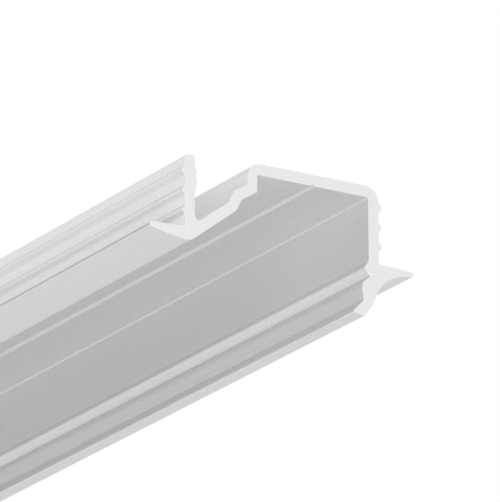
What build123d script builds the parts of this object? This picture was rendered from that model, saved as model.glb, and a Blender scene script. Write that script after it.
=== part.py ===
from build123d import *
from math import cos, radians, sin
import os

# Recessed lighting profile: one aluminium extrusion, open side down.
# X runs across the section, Y along the length, Z up.
# The origin is on the roof's outer face, midway along the length and
# midway between the box's inner faces.

# Length of the cut bar, in mm
LENGTH = 500.0

# Walls
BOX_WALL = 1.5
WEB_WALL = 1.4
LIP_WALL = 1.45

# Box that houses the light strip
BOX_INSIDE_WIDTH = 16.35
BOX_RISE = 10.1
ROOF_CORNER_RADIUS = 1.9
ROOF_INNER_RADIUS = 0.35
SHARP_INNER_RADIUS = 0.15

# Centring groove under the roof
GROOVE_WIDTH = 0.86
GROOVE_DEPTH = 0.3

# Folded web: short inner wall, ledge, step and long diagonal
SHORT_WALL_DEPTH = 2.25
LEDGE_LENGTH = 2.6
LEDGE_ANGLE = 31.5
STEP_LENGTH = 1.9
STEP_ANGLE = 62.0
DIAGONAL_ANGLE = 37.5
WEB_BEND_RADIUS = 0.8
WEB_FOOT_RADIUS = 1.0

# Fin on the far side of the V-shaped gap
GAP_WIDTH = 7.7
GAP_FLOOR_RADIUS = 0.65
FIN_RISE = 9.5
FIN_OUTER_RADIUS = 0.5
FIN_INNER_RADIUS = 0.15

# Wings that bear on the board round the slot
WING_REACH = 5.1
WING_TIP_THICKNESS = 0.8
WING_TAPER = 9.0
WING_TOP_RADIUS = 0.4
WING_EDGE_RADIUS = 0.15

# Belly of the left wing's underside, where its slope eases
BELLY_REACH = 2.2
BELLY_TAPER = 13.5
BELLY_FOOT_TAPER = 7.5
BELLY_RADIUS = 6.0

# Lip that leans in under the open side
LIP_BEND_DROP = 3.9
LIP_DROP = 7.2
LIP_LEAN = 31.5
LIP_END_ANGLE = 11.0
LIP_END_RADIUS = 0.2
LIP_SWEEP_RADIUS = 3.5

# Clip for a cover: a snap ridge, a V-shaped notch and a bead on the lip's wall
SNAP_DROP = 0.75
SNAP_PROUD = 0.67
SNAP_FLANK_RISE = 1.15
SNAP_FOOT_RADIUS = 0.3
SNAP_CREST_RADIUS = 0.3
NOTCH_BELOW_SNAP = 1.1
NOTCH_DEPTH = 0.2
NOTCH_RADIUS = 0.12
BEAD_BELOW_NOTCH = 0.65
BEAD_PROUD = 0.87
BEAD_RADIUS = 0.3
BEAD_FOOT_RADIUS = 1.0

# Gripping ridges on both outer sides; the peak is where the flanks would meet
RIDGE_COUNT = 3
RIDGE_PITCH = 2.6
RIDGE_FIRST_RISE = 2.3
RIDGE_PEAK = 0.55
RIDGE_BASE = 1.3
RIDGE_CREST_RADIUS = 0.3
RIDGE_FOOT_RADIUS = 0.25

# Catch on the fin's inner face: a small ridge, a dip and a long swelling
CATCH_RISE = 7.55
CATCH_PEAK = 0.34
CATCH_FLANK_RISE = 0.6
CATCH_RADIUS = 0.12
DIP_BELOW_CATCH = 0.58
DIP_PEAK = 0.1
DIP_RADIUS = 0.15
SWELLING_BELOW_DIP = 0.67
SWELLING_PEAK = 0.4
SWELLING_RADIUS = 0.4
SWELLING_TAIL = 1.8
CATCH_FOOT_RADIUS = 0.3

# Places worked out from the sizes above
RIGHT_INNER = BOX_INSIDE_WIDTH / 2
RIGHT_OUTER = RIGHT_INNER + BOX_WALL
BEAD_FACE = RIGHT_INNER - BEAD_PROUD
LEFT_INNER = -BOX_INSIDE_WIDTH / 2
LEFT_OUTER = LEFT_INNER - WEB_WALL
FIN_INNER = LEFT_OUTER - GAP_WIDTH
FIN_OUTER = FIN_INNER - WEB_WALL
RIGHT_TIP = RIGHT_OUTER + WING_REACH
LEFT_TIP = FIN_OUTER - WING_REACH
ROOF_UNDERSIDE = -BOX_WALL
WING_TOP = -BOX_RISE
WING_TIP_UNDERSIDE = WING_TOP - WING_TIP_THICKNESS
UPRIGHT = 90.0


def travel(start, angle, distance):
    """Point at a distance from start, in the direction of angle."""
    x, z = start
    return (x + distance * cos(radians(angle)), z + distance * sin(radians(angle)))


def beside(start, angle, distance):
    """Point at a distance to the left of a line that runs at angle."""
    return travel(start, angle + UPRIGHT, distance)


def meet(first, first_angle, second, second_angle):
    """Point where two lines cross, each given by a point and an angle."""
    across = radians(second_angle - first_angle)
    dx = second[0] - first[0]
    dz = second[1] - first[1]
    along = radians(second_angle)
    distance = (dx * sin(along) - dz * cos(along)) / sin(across)
    return travel(first, first_angle, distance)


def web_corners():
    """Lower corners from the left wing to the box, and upper ones back to the fin."""
    wall_foot = (LEFT_INNER, ROOF_UNDERSIDE - SHORT_WALL_DEPTH)
    ledge_foot = travel(wall_foot, LEDGE_ANGLE, -LEDGE_LENGTH)
    step_foot = travel(ledge_foot, STEP_ANGLE, -STEP_LENGTH)
    edge = (LEFT_TIP, WING_TIP_UNDERSIDE)
    belly = travel(edge, -BELLY_TAPER, BELLY_REACH)
    diagonal_foot = meet(step_foot, DIAGONAL_ANGLE, belly, -BELLY_FOOT_TAPER)
    lower = [
        (belly, BELLY_RADIUS),
        (diagonal_foot, WEB_FOOT_RADIUS),
        (step_foot, WEB_BEND_RADIUS + WEB_WALL),
        (ledge_foot, WEB_BEND_RADIUS),
        (wall_foot, SHARP_INNER_RADIUS),
    ]
    ledge_top = beside(wall_foot, LEDGE_ANGLE, WEB_WALL)
    step_top = beside(ledge_foot, STEP_ANGLE, WEB_WALL)
    diagonal_top = beside(step_foot, DIAGONAL_ANGLE, WEB_WALL)
    wall_side = (LEFT_OUTER, ROOF_UNDERSIDE)
    gap_side = (FIN_INNER, WING_TOP)
    upper = [
        (meet(ledge_top, LEDGE_ANGLE, wall_side, UPRIGHT), WEB_BEND_RADIUS),
        (meet(step_top, STEP_ANGLE, ledge_top, LEDGE_ANGLE), WEB_BEND_RADIUS),
        (meet(diagonal_top, DIAGONAL_ANGLE, step_top, STEP_ANGLE), WEB_BEND_RADIUS),
        (meet(diagonal_top, DIAGONAL_ANGLE, gap_side, UPRIGHT), GAP_FLOOR_RADIUS),
    ]
    return lower, upper


def gripping_ridges(face_x, side, heading):
    """Corners of the ridges on an outer face. They stand out to side, +1 or -1,
    and are met from the lowest up where heading is +1, and down where it is -1."""
    corners = []
    for number in range(RIDGE_COUNT)[::heading]:
        middle_z = WING_TOP + RIDGE_FIRST_RISE + number * RIDGE_PITCH
        foot = heading * RIDGE_BASE / 2
        corners += [
            ((face_x, middle_z - foot), RIDGE_FOOT_RADIUS),
            ((face_x + side * RIDGE_PEAK, middle_z), RIDGE_CREST_RADIUS),
            ((face_x, middle_z + foot), RIDGE_FOOT_RADIUS),
        ]
    return corners


def catch_corners():
    """Corners up the fin's inner face: the swelling, the dip and the catch."""
    catch_z = WING_TOP + CATCH_RISE
    dip_z = catch_z - DIP_BELOW_CATCH
    swelling_z = dip_z - SWELLING_BELOW_DIP
    return [
        ((FIN_INNER, swelling_z - SWELLING_TAIL), CATCH_FOOT_RADIUS),
        ((FIN_INNER + SWELLING_PEAK, swelling_z), SWELLING_RADIUS),
        ((FIN_INNER + DIP_PEAK, dip_z), DIP_RADIUS),
        ((FIN_INNER + CATCH_PEAK, catch_z), CATCH_RADIUS),
        ((FIN_INNER, catch_z + CATCH_FLANK_RISE), CATCH_FOOT_RADIUS),
    ]


def fin_and_left_wing_corners():
    """Corners from the fin's top round to the left wing's lower edge."""
    fin_top = WING_TOP + FIN_RISE
    return [
        ((FIN_INNER, fin_top), FIN_INNER_RADIUS),
        ((FIN_OUTER, fin_top), FIN_OUTER_RADIUS),
        *gripping_ridges(FIN_OUTER, -1, -1),
        ((FIN_OUTER, WING_TOP), 0),
        ((LEFT_TIP, WING_TOP), WING_TOP_RADIUS),
        ((LEFT_TIP, WING_TIP_UNDERSIDE), WING_EDGE_RADIUS),
    ]


def roof_underside_corners():
    """Corners along the roof's underside, with the V-shaped groove in its middle."""
    return [
        ((LEFT_INNER, ROOF_UNDERSIDE), SHARP_INNER_RADIUS),
        ((-GROOVE_WIDTH / 2, ROOF_UNDERSIDE), 0),
        ((0, ROOF_UNDERSIDE + GROOVE_DEPTH), 0),
        ((GROOVE_WIDTH / 2, ROOF_UNDERSIDE), 0),
        ((RIGHT_INNER, ROOF_UNDERSIDE), ROOF_INNER_RADIUS),
    ]


def clip_corners():
    """Corners down the wall's inner face: the snap ridge, the notch and the bead."""
    snap_z = WING_TOP - SNAP_DROP
    notch_z = snap_z - NOTCH_BELOW_SNAP
    bead_z = notch_z - BEAD_BELOW_NOTCH
    return [
        ((RIGHT_INNER, snap_z + SNAP_FLANK_RISE), SNAP_FOOT_RADIUS),
        ((RIGHT_INNER - SNAP_PROUD, snap_z), SNAP_CREST_RADIUS),
        ((RIGHT_INNER + NOTCH_DEPTH, notch_z), NOTCH_RADIUS),
        ((BEAD_FACE, bead_z), BEAD_RADIUS),
    ]


def lip_and_right_wing_corners():
    """Corners round the lip below the bead, and out under the right wing."""
    lip_angle = UPRIGHT - LIP_LEAN
    lip_outer = (RIGHT_OUTER, WING_TOP - LIP_BEND_DROP)
    lip_inner = beside(lip_outer, lip_angle, LIP_WALL)
    outer_tip = meet(lip_outer, lip_angle, (RIGHT_OUTER, WING_TOP - LIP_DROP), 0)
    inner_tip = meet(lip_inner, lip_angle, outer_tip, -LIP_END_ANGLE)
    bead_face = (BEAD_FACE, WING_TOP)
    wing_edge = (RIGHT_TIP, WING_TIP_UNDERSIDE)
    return [
        (meet(lip_inner, lip_angle, bead_face, UPRIGHT), BEAD_FOOT_RADIUS),
        (inner_tip, LIP_END_RADIUS),
        (outer_tip, LIP_END_RADIUS),
        (meet(lip_outer, lip_angle, wing_edge, WING_TAPER), LIP_SWEEP_RADIUS),
        (wing_edge, WING_EDGE_RADIUS),
    ]


def section_corners():
    """All corners of the section with their radii, the metal on the left."""
    lower_web, upper_web = web_corners()
    return [
        ((RIGHT_TIP, WING_TOP), WING_TOP_RADIUS),
        ((RIGHT_OUTER, WING_TOP), 0),
        *gripping_ridges(RIGHT_OUTER, 1, 1),
        ((RIGHT_OUTER, 0), ROOF_CORNER_RADIUS),
        ((LEFT_OUTER, 0), ROOF_CORNER_RADIUS),
        *upper_web,
        *catch_corners(),
        *fin_and_left_wing_corners(),
        *lower_web,
        *roof_underside_corners(),
        *clip_corners(),
        *lip_and_right_wing_corners(),
    ]


def build_profile():
    """The rounded section carried along the whole length of the bar."""
    corners = section_corners()
    points = [point for point, radius in corners]
    radii = [radius for point, radius in corners]
    section = make_face(FilletPolyline(*points, radius=radii, close=True))
    upright_section = Plane.XZ * section
    return extrude(upright_section, amount=LENGTH / 2, both=True)


os.makedirs("parts", exist_ok=True)
profile = build_profile()
profile.label = "profile"
export_step(profile, "parts/profile.step")
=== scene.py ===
from math import cos, pi, radians, sin, tan

import bpy
import numpy as np
from mathutils import Matrix, Vector


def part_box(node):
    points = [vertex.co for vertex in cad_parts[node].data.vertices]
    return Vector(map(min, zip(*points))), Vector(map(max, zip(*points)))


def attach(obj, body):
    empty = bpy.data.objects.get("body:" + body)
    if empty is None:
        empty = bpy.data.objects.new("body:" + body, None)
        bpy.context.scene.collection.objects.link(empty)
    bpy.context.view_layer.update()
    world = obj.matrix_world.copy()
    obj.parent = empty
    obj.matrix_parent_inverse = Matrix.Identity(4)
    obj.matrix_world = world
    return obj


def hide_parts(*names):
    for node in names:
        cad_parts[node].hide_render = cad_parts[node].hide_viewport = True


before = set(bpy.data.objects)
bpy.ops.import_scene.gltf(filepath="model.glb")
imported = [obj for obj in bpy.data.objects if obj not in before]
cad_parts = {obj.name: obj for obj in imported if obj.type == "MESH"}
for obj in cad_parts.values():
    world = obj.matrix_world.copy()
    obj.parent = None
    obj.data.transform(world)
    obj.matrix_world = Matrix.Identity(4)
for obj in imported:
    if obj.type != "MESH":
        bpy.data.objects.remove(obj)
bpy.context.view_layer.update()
BAR_LOW, BAR_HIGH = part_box("profile")

bl_info = {
    "name": "Recessed lighting profile",
    "version": (1, 0, 0),
    "blender": (4, 5, 0),
    "location": "3D View > Sidebar > Profile",
    "description": "Aluminium extrusion for a light strip, with its finish and studio",
    "category": "Add Mesh",
}

MM = 0.001
UPRIGHT = pi / 2

# Soft lamps of the studio: name, place in metres and power in watts
LAMPS = (
    ("front_lamp", (-0.78, -1.29, -0.01), 5.2),
    ("low_front_lamp", (-0.65, -1.16, -0.66), 8.2),
    ("low_right_lamp", (0.78, -0.25, -1.05), 2.1),
    ("low_far_lamp", (-0.6, 0.81, -0.47), 0.4),
    ("high_far_lamp", (-0.63, 0.8, 0.42), 0.6),
    ("high_left_lamp", (-0.92, -0.25, 0.91), 0.6),
    ("top_lamp", (0.0, -0.25, 1.29), 2.2),
)

# Image of the reference view in pixels, and the camera's sensor in millimetres
IMAGE_WIDTH = 500
IMAGE_HEIGHT = 502
SENSOR_WIDTH = 36.0

# Edges that turn by more than this stay sharp in the shading
SMOOTH_LIMIT = radians(35.0)

# Skin this close to the bar's two ends counts as sawn
SAWN_DEPTH = 0.01 * MM

# Centre of the saw blade in the section, x and z in metres
BLADE_CENTRE = (0.05, -0.14)

# Sizes of the finish's broad patches: clouding of the skin, the wander of the
# saw marks and the mottle between them
CLOUD_SIZE = 40 * MM
WANDER_SIZE = 6 * MM
MOTTLE_SIZE = 0.5 * MM

# Share of the noise's frequency that the die lines keep along the bar
LINE_STRETCH = 0.004

# Radians by which the saw marks wander from true arcs
MARK_WANDER = 6.0

# Weights in the skin: of grain, die lines and clouding in its shade, and of
# grain and die lines in its roughness and its height
SKIN_SHADE = (1.1, 0.35, 0.2)
SKIN_ROUGHNESS = (0.14, 0.1)
SKIN_HEIGHT = (0.5, 0.9)

# Weights in the sawn ends: of mottle and saw marks in their shade and their
# height, and of saw marks in their roughness
END_SHADE = (0.7, 0.3)
END_HEIGHT = (0.6, 0.7)
END_ROUGHNESS = (0.1,)

# Bump of the finish: its strength, and the height in metres that it stands for
BUMP_STRENGTH = 0.35
BUMP_HEIGHT = 0.012 * MM


def length(name, description, millimetres):
    """Property for a size that the user reads in the scene's own length unit."""
    return bpy.props.FloatProperty(
        name=name,
        description=description,
        default=millimetres * MM,
        precision=5,
        unit="LENGTH",
    )


def angle(name, description, degrees):
    """Property for an angle, given here in degrees."""
    return bpy.props.FloatProperty(
        name=name, description=description, default=radians(degrees), subtype="ANGLE"
    )


def colour(name, description, rgb):
    """Property for a linear colour."""
    return bpy.props.FloatVectorProperty(
        name=name,
        description=description,
        default=rgb,
        min=0.0,
        max=1.0,
        subtype="COLOR",
    )


def share(name, description, value):
    """Property for a number from 0 to 1."""
    return bpy.props.FloatProperty(
        name=name,
        description=description,
        default=value,
        min=0.0,
        max=1.0,
        subtype="FACTOR",
    )


class SectionSizes(bpy.types.PropertyGroup):
    """Sizes of the extruded section."""

    box_wall: length("Box wall", "Roof and ridged wall", 1.5)
    web_wall: length("Web wall", "Folded web, short wall and fin", 1.4)
    lip_wall: length("Lip wall", "Leaning lip", 1.58)
    inside_width: length("Inside width", "Clear width of the box", 16.35)
    box_rise: length("Box rise", "Roof above the wings", 10.1)
    roof_radius: length("Roof radius", "Outer corners of the roof", 1.9)
    roof_inner_radius: length("Inner radius", "Inner corner at the ridged wall", 0.25)
    edge_radius: length("Edge radius", "Rounding of an edge that looks sharp", 0.12)
    groove_width: length("Groove width", "Centring groove under the roof", 0.86)
    groove_depth: length("Groove depth", "Centring groove under the roof", 0.3)
    short_wall_depth: length("Short wall", "Inner height of the short wall", 2.25)
    ledge_length: length("Ledge", "Shallow slope beside the box", 2.6)
    ledge_angle: angle("Ledge angle", "Slope of the ledge", 31.5)
    step_length: length("Step", "Steep slope below the ledge", 1.9)
    step_angle: angle("Step angle", "Slope of the step", 62.0)
    diagonal_angle: angle("Diagonal angle", "Slope of the long diagonal", 37.5)
    bend_radius: length("Bend radius", "Bends of the folded web", 0.8)
    foot_radius: length("Foot radius", "Lower edge under the fin", 1.8)
    gap_width: length("Gap width", "Fin to box", 7.7)
    gap_radius: length("Gap radius", "Floor of the gap", 0.65)
    fin_rise: length("Fin rise", "Fin above the wings", 9.5)
    fin_outer_radius: length("Fin outer radius", "Top edge away from the box", 0.5)
    fin_inner_radius: length("Fin inner radius", "Top edge towards the box", 0.15)
    wing_reach: length("Wing reach", "Wings beyond their walls", 5.1)
    wing_tip: length("Wing tip", "Thickness of the wings' tips", 0.8)
    wing_taper: angle("Wing taper", "Slope of the right wing's underside", 9.0)
    wing_fall: angle("Wing fall", "Slope of the wings' tops", 2.3)
    wing_top_radius: length("Wing top radius", "Upper edge of the tips", 0.33)
    wing_edge_radius: length("Wing edge radius", "Lower edge of the tips", 0.22)
    belly_reach: length("Belly reach", "Left wing's edge to its belly", 2.2)
    belly_taper: angle("Belly taper", "Slope from the left wing's edge", 13.5)
    belly_foot_taper: angle("Belly foot taper", "Slope from the belly to the foot", 7.5)
    belly_radius: length("Belly radius", "Rounding where the slope eases", 6.0)
    lip_knee_drop: length("Lip knee drop", "Where the lip's lean grows", 5.5)
    lip_knee_inset: length("Lip knee inset", "Knee inside the wall's outer face", 0.98)
    lip_knee_radius: length("Lip knee radius", "Bend of the outer face there", 3.0)
    lip_drop: length("Lip drop", "Lip below the wings' tops", 7.2)
    lip_root_lean: angle("Lip root lean", "Lean above the knee, from upright", 25.0)
    lip_lean: angle("Lip lean", "Lean below the knee, from upright", 36.0)
    lip_inner_lean: angle("Lip inner lean", "Lean of the lip's inner face", 42.0)
    lip_end_angle: angle("Lip end angle", "Slope of the lip's end", 8.5)
    lip_end_radius: length("Lip end radius", "Edges of the lip's end", 0.2)
    lip_sweep_radius: length("Lip sweep", "Hollow sweep under the wing", 5.0)
    snap_drop: length("Snap drop", "Snap ridge below the wings' tops", 0.7)
    snap_proud: length("Snap", "Peak of the snap ridge out of the wall", 0.67)
    snap_flank_rise: length("Snap flank", "Upper foot above the peak", 0.88)
    snap_foot_radius: length("Snap foot radius", "Upper foot of the snap ridge", 0.3)
    snap_radius: length("Snap radius", "Crest of the snap ridge", 0.3)
    notch_below_snap: length("Notch drop", "Notch below the snap's peak", 1.08)
    notch_depth: length("Notch depth", "Notch into the wall", 0.2)
    notch_radius: length("Notch radius", "Inner corner of the notch", 0.12)
    bead_below_notch: length("Bead drop", "Bead's shoulder below the notch", 1.12)
    bead_proud: length("Bead", "Bead's shoulder out of the wall", 1.03)
    bead_lean: angle("Bead lean", "How far the bead's face leans back", 6.3)
    bead_radius: length("Bead radius", "Shoulder of the bead", 0.9)
    bead_foot_radius: length("Bead foot radius", "Where the bead meets the lip", 0.5)
    ridge_pitch: length("Ridge pitch", "From one gripping ridge to the next", 2.6)
    wall_ridge_rise: length("First wall ridge", "Lowest ridge above the wings", 2.3)
    wall_ridge_peak: length("Wall ridge peak", "Where its flanks would meet", 0.55)
    fin_ridge_rise: length("First fin ridge", "Lowest ridge above the wings", 2.2)
    fin_ridge_peak: length("Fin ridge peak", "Where its flanks would meet", 0.5)
    ridge_base: length("Ridge base", "Foot of a gripping ridge", 1.3)
    ridge_crest_radius: length("Ridge crest", "Crest of a gripping ridge", 0.3)
    ridge_upper_radius: length("Ridge upper foot", "Crisp foot above a ridge", 0.12)
    ridge_lower_radius: length("Ridge lower foot", "Soft foot below a ridge", 0.7)
    catch_rise: length("Catch rise", "Catch on the fin, above the wings", 7.55)
    catch_peak: length("Catch", "Peak of the catch out of the fin", 0.34)
    catch_flank_rise: length("Catch flank", "Upper foot above the peak", 0.6)
    catch_radius: length("Catch radius", "Crest of the catch", 0.12)
    catch_foot_radius: length("Catch foot radius", "Where they leave the fin", 0.3)
    dip_below_catch: length("Dip drop", "Dip below the catch", 0.58)
    dip_peak: length("Dip", "Bottom of the dip out of the fin", 0.1)
    dip_radius: length("Dip radius", "Bottom of the dip", 0.15)
    swelling_below_dip: length("Swelling drop", "Swelling below the dip", 0.67)
    swelling_peak: length("Swelling", "Peak of the swelling out of the fin", 0.4)
    swelling_radius: length("Swelling radius", "Crest of the swelling", 0.4)
    swelling_tail: length("Swelling tail", "Lower foot below the peak", 1.8)
    edge_break: length("Edge break", "Width of the broken edge at a sawn end", 0.015)
    ridge_count: bpy.props.IntProperty(
        name="Ridges", description="Gripping ridges on each side", default=3, min=1
    )
    arc_steps: bpy.props.IntProperty(
        name="Arc steps", description="Faces in each rounded corner", default=10, min=2
    )
    bar_steps: bpy.props.IntProperty(
        name="Bar steps", description="Faces along the bar", default=25, min=1
    )


class ProfileFinish(bpy.types.PropertyGroup):
    """Colours and roughness of the anodised sides and the sawn ends."""

    side_colour: colour("Anodised sides", "Matte anodised skin", (0.8, 0.8, 0.8))
    side_dark: colour("Darker grain", "Darkest grain of the skin", (0.61, 0.61, 0.61))
    # Painted shade: colour of a thin darker line along the wings' tips
    tip_shade_colour: colour("Wing tips", "Darker line along the tips", (0.43, 0.43, 0.43))
    end_colour: colour("Sawn end", "Bare metal of the cut", (0.865, 0.865, 0.865))
    end_dark: colour("Saw marks", "Darkest marks of the cut", (0.765, 0.765, 0.765))
    side_metal: share("Side metal", "Metallic share of the matte skin", 0.6)
    end_metal: share("End metal", "Metallic share of the sawn end", 0.4)
    side_roughness: share("Side roughness", "Roughness of the anodised skin", 0.5)
    end_roughness: share("End roughness", "Roughness of the sawn end", 0.6)
    grain_size: length("Grain size", "Size of the etched grain", 0.28)
    # Width of the strip of painted shade at the wings' tips
    tip_shade_depth: length("Tip line", "Depth of the darker line at the wings' tips", 0.015)
    line_size: length("Die line size", "Width of the faint lines along the bar", 0.35)
    saw_pitch: length("Saw pitch", "From one saw mark to the next", 0.28)


class StageSettings(bpy.types.PropertyGroup):
    """Studio: camera, floor, lamps and surroundings."""

    azimuth: angle("Azimuth", "Camera round the bar, 0 looks along +Y", -31.7)
    elevation: angle("Elevation", "Camera above the horizon", -19.07)
    roll: angle("Roll", "Turn of the camera about its own view", -0.26)
    distance: length("Distance", "Camera to the near end, along the view", 959.0)
    focal_pixels: bpy.props.FloatProperty(
        name="Focal length", description="Focal length in image pixels", default=7660.0
    )
    aim_x: bpy.props.FloatProperty(
        name="Corner X", description="Pixel column of the wall's foot", default=379.0
    )
    aim_y: bpy.props.FloatProperty(
        name="Corner Y", description="Pixel row of the wall's foot", default=264.3
    )
    floor_drop: length("Floor drop", "Floor below the bar", 1200.0)
    floor_size: length("Floor size", "Side of the floor", 14000.0)
    floor_colour: colour("Floor", "Pale studio floor", (0.86, 0.86, 0.86))
    floor_glow: share("Floor white", "White that the camera sees on the floor", 0.85)
    ambient: share("Ambient", "Soft light from all round", 0.35)
    lamp_size: length("Lamp size", "Side of each soft lamp", 600.0)


def travel(start, heading, distance):
    """Point at a distance from start: start + distance * (cos, sin) of heading."""
    return np.array(start) + distance * np.array([cos(heading), sin(heading)])


def beside(start, heading, distance):
    """Point at a distance to the left of a line that runs at heading."""
    return travel(start, heading + UPRIGHT, distance)


def meet(first, first_heading, second, second_heading):
    """Crossing of two lines: first + t * direction, with t the ratio of the
    cross product of the gap with the second direction to that of the two
    directions."""
    gap = np.array(second) - np.array(first)
    reach = gap[0] * sin(second_heading) - gap[1] * cos(second_heading)
    return travel(first, first_heading, reach / sin(second_heading - first_heading))


def ridged_side(sizes, face_x, first_rise, peak, heading):
    """Corners of the gripping ridges on one outer face, in path order: for each
    ridge a foot, the peak, which points towards -x or +x, and the other foot."""
    corners = []
    feet = (sizes.ridge_lower_radius, sizes.ridge_upper_radius)
    first_foot, second_foot = feet[::heading]
    for number in range(sizes.ridge_count)[::heading]:
        middle = first_rise + number * sizes.ridge_pitch - sizes.box_rise
        foot = heading * sizes.ridge_base / 2
        corners += [
            ((face_x, middle - foot), first_foot),
            ((face_x + peak, middle), sizes.ridge_crest_radius),
            ((face_x, middle + foot), second_foot),
        ]
    return corners


def section_corners(sizes):
    """Corners of the whole section as (x, z) and radius, the metal on the left.

    The path starts at the right wing's tip, climbs the ridged wall, crosses
    the roof, comes down the folded web, goes round the fin and the left wing,
    and returns under the web and the roof to the lip.
    """
    s = sizes
    right_inner = s.inside_width / 2
    right_outer = right_inner + s.box_wall
    left_inner = -right_inner
    left_outer = left_inner - s.web_wall
    fin_inner = left_outer - s.gap_width
    fin_outer = fin_inner - s.web_wall
    right_tip = right_outer + s.wing_reach
    left_tip = fin_outer - s.wing_reach
    roof = -s.box_wall
    wing = -s.box_rise
    tip_top = wing - s.wing_reach * tan(s.wing_fall)
    tip_under = wing - s.wing_tip
    fin_top = wing + s.fin_rise

    wall_foot = np.array([left_inner, roof - s.short_wall_depth])
    ledge_foot = travel(wall_foot, s.ledge_angle, -s.ledge_length)
    step_foot = travel(ledge_foot, s.step_angle, -s.step_length)
    belly = travel((left_tip, tip_under), -s.belly_taper, s.belly_reach)
    diagonal_foot = meet(step_foot, s.diagonal_angle, belly, -s.belly_foot_taper)
    ledge_top = beside(wall_foot, s.ledge_angle, s.web_wall)
    step_top = beside(ledge_foot, s.step_angle, s.web_wall)
    diagonal_top = beside(step_foot, s.diagonal_angle, s.web_wall)
    gap_floor = meet(diagonal_top, s.diagonal_angle, (fin_inner, wing), UPRIGHT)

    catch = wing + s.catch_rise
    dip = catch - s.dip_below_catch
    swelling = dip - s.swelling_below_dip
    snap = wing - s.snap_drop
    notch = snap - s.notch_below_snap
    bead = (right_inner - s.bead_proud, notch - s.bead_below_notch)
    lip = UPRIGHT - s.lip_lean
    lip_root = UPRIGHT - s.lip_root_lean
    lip_face = UPRIGHT - s.lip_inner_lean
    knee = (right_outer - s.lip_knee_inset, wing - s.lip_knee_drop)
    lip_inner = beside(knee, lip, s.lip_wall)
    outer_tip = meet(knee, lip, (right_outer, wing - s.lip_drop), 0.0)
    inner_tip = meet(lip_inner, lip, outer_tip, -s.lip_end_angle)
    bead_foot = meet(inner_tip, lip_face, bead, UPRIGHT + s.bead_lean)
    sweep = meet(knee, lip_root, (right_tip, tip_under), s.wing_taper)

    right_wall = [
        ((right_tip, tip_top), s.wing_top_radius),
        ((right_outer, wing), s.edge_radius),
        *ridged_side(s, right_outer, s.wall_ridge_rise, s.wall_ridge_peak, 1),
        ((right_outer, 0.0), s.roof_radius),
        ((left_outer, 0.0), s.roof_radius),
    ]
    web_top = [
        (meet(ledge_top, s.ledge_angle, (left_outer, roof), UPRIGHT), s.bend_radius),
        (meet(step_top, s.step_angle, ledge_top, s.ledge_angle), s.bend_radius),
        (meet(diagonal_top, s.diagonal_angle, step_top, s.step_angle), s.bend_radius),
        (gap_floor, s.gap_radius),
    ]
    fin = [
        ((fin_inner, swelling - s.swelling_tail), s.catch_foot_radius),
        ((fin_inner + s.swelling_peak, swelling), s.swelling_radius),
        ((fin_inner + s.dip_peak, dip), s.dip_radius),
        ((fin_inner + s.catch_peak, catch), s.catch_radius),
        ((fin_inner, catch + s.catch_flank_rise), s.catch_foot_radius),
        ((fin_inner, fin_top), s.fin_inner_radius),
        ((fin_outer, fin_top), s.fin_outer_radius),
        *ridged_side(s, fin_outer, s.fin_ridge_rise, -s.fin_ridge_peak, -1),
        ((fin_outer, wing), s.edge_radius),
        ((left_tip, tip_top), s.wing_top_radius),
        ((left_tip, tip_under), s.wing_edge_radius),
        (belly, s.belly_radius),
    ]
    underside = [
        (diagonal_foot, s.foot_radius),
        (step_foot, s.bend_radius + s.web_wall),
        (ledge_foot, s.bend_radius),
        (wall_foot, s.edge_radius),
        ((left_inner, roof), s.edge_radius),
        ((-s.groove_width / 2, roof), s.edge_radius),
        ((0.0, roof + s.groove_depth), s.edge_radius),
        ((s.groove_width / 2, roof), s.edge_radius),
        ((right_inner, roof), s.roof_inner_radius),
    ]
    lip_side = [
        ((right_inner, snap + s.snap_flank_rise), s.snap_foot_radius),
        ((right_inner - s.snap_proud, snap), s.snap_radius),
        ((right_inner + s.notch_depth, notch), s.notch_radius),
        (bead, s.bead_radius),
        (bead_foot, s.bead_foot_radius),
        (inner_tip, s.lip_end_radius),
        (outer_tip, s.lip_end_radius),
        (knee, s.lip_knee_radius),
        (sweep, s.lip_sweep_radius),
        ((right_tip, tip_under), s.wing_edge_radius),
    ]
    corners = right_wall + web_top + fin + underside + lip_side
    points = np.array([point for point, radius in corners], dtype=float)
    radii = np.array([radius for point, radius in corners])
    return points, radii


def rounded_outline(points, radii, steps):
    """Closed outline with every corner replaced by an arc on a grid.

    With the turn at a corner, the arc starts radius * tan(turn / 2) before it.
    Its centre is one radius to the side of the turn, and point j of corner k is
    the centre plus the first spoke turned by the share j / steps of the turn.
    """
    ahead = np.roll(points, -1, axis=0) - points
    ahead /= np.linalg.norm(ahead, axis=1)[:, None]
    behind = np.roll(ahead, 1, axis=0)
    cross = behind[:, 0] * ahead[:, 1] - behind[:, 1] * ahead[:, 0]
    turn = np.arctan2(cross, (behind * ahead).sum(axis=1))
    start = points - behind * (radii * np.tan(np.abs(turn) / 2))[:, None]
    left = np.stack([-behind[:, 1], behind[:, 0]], axis=1)
    centre = start + left * (radii * np.sign(turn))[:, None]
    spoke = start - centre
    swept = turn[:, None] * np.linspace(0.0, 1.0, steps + 1)[None, :]
    x = centre[:, :1] + spoke[:, :1] * np.cos(swept) - spoke[:, 1:] * np.sin(swept)
    z = centre[:, 1:] + spoke[:, :1] * np.sin(swept) + spoke[:, 1:] * np.cos(swept)
    return np.stack([x, z], axis=-1).reshape(-1, 2)


def inset_outline(outline, distance):
    """Outline moved into the metal: each point goes to the left of the line
    that joins its two neighbours."""
    along = np.roll(outline, -1, axis=0) - np.roll(outline, 1, axis=0)
    along /= np.linalg.norm(along, axis=1)[:, None]
    return outline + distance * np.stack([-along[:, 1], along[:, 0]], axis=1)


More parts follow.
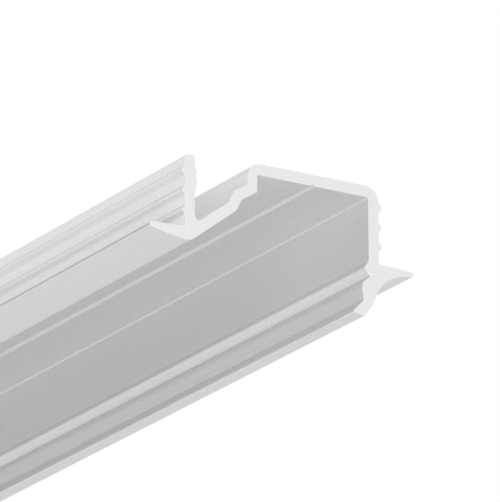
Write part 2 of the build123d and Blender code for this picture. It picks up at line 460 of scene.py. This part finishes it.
def carried_bar(outline, near, far, edge_break, steps):
    """Vertices and quads of the outline carried from near to far along Y.

    Ring i of the grid is the outline at station i. The first and last rings
    are inset by the edge break, so that the sawn edges are broken.
    """
    stations = np.concatenate(
        [[near], np.linspace(near + edge_break, far - edge_break, steps + 1), [far]]
    )
    rings = np.repeat(outline[None], len(stations), axis=0)
    rings[[0, -1]] = inset_outline(outline, edge_break)
    across = np.repeat(stations[:, None], len(outline), axis=1)
    vertices = np.stack([rings[..., 0], across, rings[..., 1]], axis=-1)
    index = np.arange(across.size).reshape(across.shape)
    after = np.roll(index, -1, axis=1)
    quads = np.stack([index[:-1], index[1:], after[1:], after[:-1]], axis=-1)
    return vertices.reshape(-1, 3), quads.reshape(-1, 4), index[0], index[-1][::-1]


def new_object(name, vertices, faces):
    """Mesh object at the origin: its place in the scene is in its vertices."""
    mesh = bpy.data.meshes.new(name)
    mesh.from_pydata(vertices.tolist(), [], faces)
    mesh.validate()
    mesh.update()
    piece = bpy.data.objects.new(name, mesh)
    bpy.context.scene.collection.objects.link(piece)
    return piece


def smooth_by_angle(piece, limit):
    """Smooth shading, apart from edges that turn by more than limit."""
    piece.data.shade_smooth()
    piece.data.set_sharp_from_angle(angle=limit)


class Wire:
    """A node's output whose arithmetic adds Math nodes to its material."""

    def __init__(self, shading, socket):
        self.shading = shading
        self.socket = socket

    def _math(self, operation, *operands):
        return self.shading.node(
            "ShaderNodeMath", {"operation": operation}, dict(enumerate(operands))
        )

    def __add__(self, other):
        return self._math("ADD", self, other)

    def __sub__(self, other):
        return self._math("SUBTRACT", self, other)

    def __mul__(self, other):
        return self._math("MULTIPLY", self, other)

    def __radd__(self, other):
        return self._math("ADD", other, self)

    def __rsub__(self, other):
        return self._math("SUBTRACT", other, self)

    def __rmul__(self, other):
        return self._math("MULTIPLY", other, self)

    def __gt__(self, other):
        return self._math("GREATER_THAN", self, other)

    def __abs__(self):
        return self._math("ABSOLUTE", self)

    def sine(self):
        """Sine of the value in radians."""
        return self._math("SINE", self)

    def root(self):
        """Square root of the value."""
        return self._math("SQRT", self)


class Shading:
    """Adds nodes to one node tree."""

    def __init__(self, owner):
        owner.use_nodes = True
        self.tree = owner.node_tree
        self.tree.nodes.clear()

    def node(self, kind, settings=None, inputs=None, output=0):
        """New node of a type, with its settings first, then values or links."""
        made = self.tree.nodes.new(kind)
        for name, value in (settings or {}).items():
            setattr(made, name, value)
        for name, value in (inputs or {}).items():
            if isinstance(value, Wire):
                self.tree.links.new(value.socket, made.inputs[name])
            else:
                made.inputs[name].default_value = value
        return Wire(self, made.outputs[output]) if made.outputs else made

    def noise(self, place, size, detail=2.0, rough=0.5):
        """Noise from 0 to 1 whose features are about size across."""
        return self.node(
            "ShaderNodeTexNoise",
            {"noise_dimensions": "3D"},
            {
                "Vector": place,
                "Scale": 1.0 / size,
                "Detail": detail,
                "Roughness": rough,
            },
            output="Fac",
        )

    def blend(self, factor, first, second):
        """Colour that goes from first to second as factor goes from 0 to 1."""
        return self.node(
            "ShaderNodeMix",
            {"data_type": "RGBA", "clamp_factor": True},
            {0: factor, 6: first, 7: second},
            output=2,
        )


def rgba(rgb):
    """Colour with full alpha."""
    return (*rgb, 1.0)


def weighted(patterns, weights):
    """Sum of the patterns, each times its weight."""
    return sum(pattern * weight for pattern, weight in zip(patterns, weights))


def about(middle, patterns, weights):
    """Middle value plus each pattern's departure from 0.5, times its weight."""
    return weighted(patterns, weights) + (middle - sum(weights) / 2)


def aluminium_finish(finish, outline, near, far):
    """Matte anodised skin along the bar, and paler sawn metal at its two ends.

    The skin has etched grain, soft clouding and faint die lines, which keep
    their place in the section and run the whole length, and a darker line of
    painted shade along the wings' tips. The ends have shallow arcs about the
    centre of a saw blade: the sine of the distance from it, over the saw's pitch.
    """
    material = bpy.data.materials.new("anodised_aluminium")
    s = Shading(material)
    place = s.node("ShaderNodeTexCoord", output="Object")
    split = s.node("ShaderNodeSeparateXYZ", inputs={"Vector": place})
    parts = split.socket.node.outputs
    x, y, z = (Wire(s, parts[axis]) for axis in "XYZ")
    middle, half = (near + far) / 2, (far - near) / 2
    sawn = abs(y - middle) > half - SAWN_DEPTH
    left_tip, right_tip = outline[:, 0].min(), outline[:, 0].max()
    centre, reach = (left_tip + right_tip) / 2, (right_tip - left_tip) / 2
    # Painted shade: a thin strip along each wing's tip, where the base colour is
    # darkened
    tips = abs(x - centre) > reach - finish.tip_shade_depth

    drawn_out = s.node(
        "ShaderNodeMapping",
        {"vector_type": "POINT"},
        {"Vector": place, "Scale": (1, LINE_STRETCH, 1)},
    )
    grain = s.noise(place, finish.grain_size, detail=3.0)
    lines = s.noise(drawn_out, finish.line_size, detail=3.0, rough=0.6)
    clouds = s.noise(place, CLOUD_SIZE)

    aside, above = x - BLADE_CENTRE[0], z - BLADE_CENTRE[1]
    away = (aside * aside + above * above).root()
    wander = s.noise(place, WANDER_SIZE) * MARK_WANDER
    marks = (away * (2 * pi / finish.saw_pitch) + wander).sine() * 0.5 + 0.5
    mottle = s.noise(place, MOTTLE_SIZE, detail=3.0)

    side_shade = about(0.5, (grain, lines, clouds), SKIN_SHADE)
    end_shade = about(0.5, (mottle, marks), END_SHADE)
    side_base = s.blend(side_shade, rgba(finish.side_dark), rgba(finish.side_colour))
    # Painted shade: the tip strip takes the darker tip colour
    side_base = s.blend(tips, side_base, rgba(finish.tip_shade_colour))
    end_base = s.blend(end_shade, rgba(finish.end_dark), rgba(finish.end_colour))
    base = s.blend(sawn, side_base, end_base)
    side_rough = about(finish.side_roughness, (grain, lines), SKIN_ROUGHNESS)
    end_rough = about(finish.end_roughness, (marks,), END_ROUGHNESS)
    rough = side_rough + sawn * (end_rough - side_rough)
    side_height = weighted((grain, lines), SKIN_HEIGHT)
    end_height = weighted((mottle, marks), END_HEIGHT)
    height = side_height + sawn * (end_height - side_height)
    bump = s.node(
        "ShaderNodeBump",
        inputs={"Height": height, "Strength": BUMP_STRENGTH, "Distance": BUMP_HEIGHT},
    )
    metal = finish.side_metal + sawn * (finish.end_metal - finish.side_metal)
    shader = s.node(
        "ShaderNodeBsdfPrincipled",
        inputs={
            "Base Color": base,
            "Roughness": rough,
            "Metallic": metal,
            "Normal": bump,
        },
    )
    s.node("ShaderNodeOutputMaterial", inputs={"Surface": shader})
    return material


def seen_as_background(shading):
    """1 for rays from the camera and for those that a gloss or glass sends on."""
    path = shading.node("ShaderNodeLightPath")
    outputs = path.socket.node.outputs
    names = ("Is Camera Ray", "Is Glossy Ray", "Is Transmission Ray")
    camera, glossy, through = (Wire(shading, outputs[name]) for name in names)
    return 1.0 - (1.0 - camera) * (1.0 - glossy) * (1.0 - through)


def floor_finish(stage):
    """Pale matte floor that the camera and reflections see as nearly white."""
    material = bpy.data.materials.new("pale_floor")
    material.cycles.emission_sampling = "NONE"
    s = Shading(material)
    matte = s.node(
        "ShaderNodeBsdfPrincipled",
        inputs={"Base Color": rgba(stage.floor_colour), "Roughness": 0.9},
    )
    white = s.node(
        "ShaderNodeEmission", inputs={"Color": rgba((1, 1, 1)), "Strength": 1.0}
    )
    seen = seen_as_background(s) * stage.floor_glow
    surface = s.node("ShaderNodeMixShader", inputs={0: seen, 1: matte, 2: white})
    s.node("ShaderNodeOutputMaterial", inputs={"Surface": surface})
    return material


def pale_surroundings(stage):
    """World that is white as a background and dimmer as a light."""
    world = bpy.data.worlds.new("pale_surroundings")
    s = Shading(world)
    seen = seen_as_background(s)
    strength = stage.ambient + seen * (1.0 - stage.ambient)
    light = s.node(
        "ShaderNodeBackground", inputs={"Color": rgba((1, 1, 1)), "Strength": strength}
    )
    s.node("ShaderNodeOutputWorld", inputs={"Surface": light})
    world.cycles.sampling_method = "NONE"
    bpy.context.scene.world = world


def soft_lamp(name, place, target, size, power):
    """Square lamp at place that faces target, out of the camera's own sight."""
    lamp = bpy.data.lights.new(name, "AREA")
    lamp.shape = "SQUARE"
    lamp.size = size
    lamp.energy = power
    holder = bpy.data.objects.new(name, lamp)
    holder.visible_camera = False
    facing = Vector(target) - Vector(place)
    holder.matrix_world = Matrix.Translation(place) @ facing.to_track_quat(
        "-Z", "Y"
    ).to_matrix().to_4x4()
    bpy.context.scene.collection.objects.link(holder)
    return holder


def view_axes(azimuth, elevation, roll):
    """Right, up and forward of the camera: those of a level one, with the first
    two turned by roll about the third."""
    level = Vector((cos(azimuth), sin(azimuth), 0.0))
    forward = Vector(
        (-sin(azimuth) * cos(elevation), cos(azimuth) * cos(elevation), -sin(elevation))
    )
    above = level.cross(forward)
    right = level * cos(roll) + above * sin(roll)
    return right, right.cross(forward), forward


def reference_camera(stage, corner):
    """Camera that sees the given corner of the bar at the aim pixel."""
    right, up, forward = view_axes(stage.azimuth, stage.elevation, stage.roll)
    per_pixel = stage.distance / stage.focal_pixels
    aside = (stage.aim_x - IMAGE_WIDTH / 2) * per_pixel
    below = (stage.aim_y - IMAGE_HEIGHT / 2) * per_pixel
    place = corner - right * aside + up * below - forward * stage.distance
    camera = bpy.data.cameras.new("reference_camera")
    camera.sensor_width = SENSOR_WIDTH
    camera.lens = stage.focal_pixels / max(IMAGE_WIDTH, IMAGE_HEIGHT) * SENSOR_WIDTH
    camera.clip_start = 0.05
    camera.clip_end = 50.0
    holder = bpy.data.objects.new("reference_camera", camera)
    axes = Matrix((right, up, -forward)).transposed()
    holder.matrix_world = Matrix.Translation(place) @ axes.to_4x4()
    bpy.context.scene.collection.objects.link(holder)
    bpy.context.scene.camera = holder


class PROFILE_OT_extrude_bar(bpy.types.Operator):
    """Carry the rounded section along the bar and give it its finish"""

    bl_idname = "profile.extrude_bar"
    bl_label = "Extrude the bar"

    def execute(self, context):
        sizes = context.scene.profile_sizes
        points, radii = section_corners(sizes)
        outline = rounded_outline(points, radii, sizes.arc_steps)
        near, far = BAR_LOW[1], BAR_HIGH[1]
        vertices, quads, near_cap, far_cap = carried_bar(
            outline, near, far, sizes.edge_break, sizes.bar_steps
        )
        faces = [*quads.tolist(), near_cap.tolist(), far_cap.tolist()]
        bar = new_object("aluminium_bar", vertices, faces)
        smooth_by_angle(bar, SMOOTH_LIMIT)
        bar.data.materials.append(
            aluminium_finish(context.scene.profile_finish, outline, near, far)
        )
        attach(bar, "root")
        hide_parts("profile")
        return {"FINISHED"}


class PROFILE_OT_set_stage(bpy.types.Operator):
    """Add the pale floor, the surroundings, the soft lamps and the camera"""

    bl_idname = "profile.set_stage"
    bl_label = "Set the stage"

    def execute(self, context):
        stage = context.scene.profile_stage
        sizes = context.scene.profile_sizes
        side = stage.floor_size / 2
        spread = np.array([[-1, -1], [1, -1], [1, 1], [-1, 1]]) * side
        level = np.full((4, 1), BAR_LOW[2] - stage.floor_drop)
        floor = new_object("studio_floor", np.hstack([spread, level]), [[0, 1, 2, 3]])
        floor.data.materials.append(floor_finish(stage))
        pale_surroundings(stage)
        end = (0.0, BAR_LOW[1], -sizes.box_rise)
        for name, place, power in LAMPS:
            soft_lamp(name, place, end, stage.lamp_size, power)
        wall_foot = Vector(
            (sizes.inside_width / 2 + sizes.box_wall, BAR_LOW[1], -sizes.box_rise)
        )
        reference_camera(stage, wall_foot)
        context.scene.view_settings.view_transform = "Standard"
        return {"FINISHED"}


class PROFILE_PT_panel(bpy.types.Panel):
    """Sidebar panel with both operators"""

    bl_idname = "PROFILE_PT_panel"
    bl_label = "Lighting profile"
    bl_space_type = "VIEW_3D"
    bl_region_type = "UI"
    bl_category = "Profile"

    def draw(self, context):
        for operator in OPERATORS:
            self.layout.operator(operator.bl_idname)


OPERATORS = (PROFILE_OT_extrude_bar, PROFILE_OT_set_stage)
GROUPS = {
    "profile_sizes": SectionSizes,
    "profile_finish": ProfileFinish,
    "profile_stage": StageSettings,
}


def register():
    for made in (*GROUPS.values(), *OPERATORS, PROFILE_PT_panel):
        bpy.utils.register_class(made)
    for name, group in GROUPS.items():
        setattr(bpy.types.Scene, name, bpy.props.PointerProperty(type=group))


def unregister():
    for name in GROUPS:
        delattr(bpy.types.Scene, name)
    for made in (PROFILE_PT_panel, *reversed(OPERATORS), *reversed(GROUPS.values())):
        bpy.utils.unregister_class(made)


def main():
    register()
    bpy.ops.profile.extrude_bar()
    bpy.ops.profile.set_stage()


if __name__ == "__main__":
    main()
